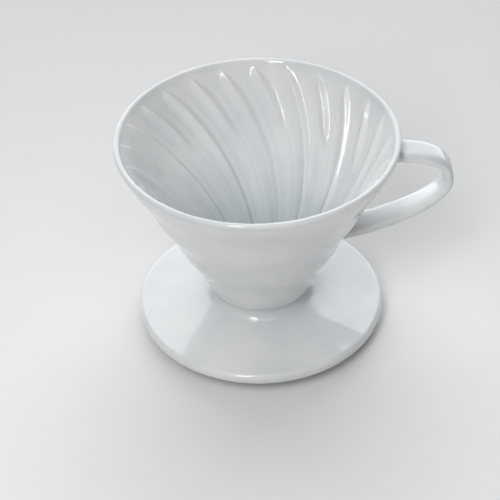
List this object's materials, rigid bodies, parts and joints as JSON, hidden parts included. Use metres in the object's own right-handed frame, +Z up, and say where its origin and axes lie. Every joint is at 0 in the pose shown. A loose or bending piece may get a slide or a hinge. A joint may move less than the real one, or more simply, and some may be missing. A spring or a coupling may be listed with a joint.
{
  "type": "pour over dripper",
  "caption": "Conical pour-over coffee dripper in white glazed ceramic, with spiral ribs inside, a round saucer base that sits on a mug and a strap handle.",
  "frame": {"origin": "on the cup's axis, in the plane of the locating ring's foot", "axes": "+Z up along the cup's axis towards its mouth, +X from the axis towards the handle"},
  "size_m": [0.119, 0.1, 0.082],
  "materials": {
    "white_glaze": "clear gloss glaze over a white ceramic body, bare on the foot of the locating ring",
    "joint_slip": "fired slip under the same clear gloss glaze"
  },
  "bodies": {
    "root": {"cone_body": "white_glaze", "saucer_base": "white_glaze", "handle": "white_glaze", "neck_slip_joint": "joint_slip", "upper_handle_slip_joint": "joint_slip", "lower_handle_slip_joint": "joint_slip"}
  },
  "joints": []
}
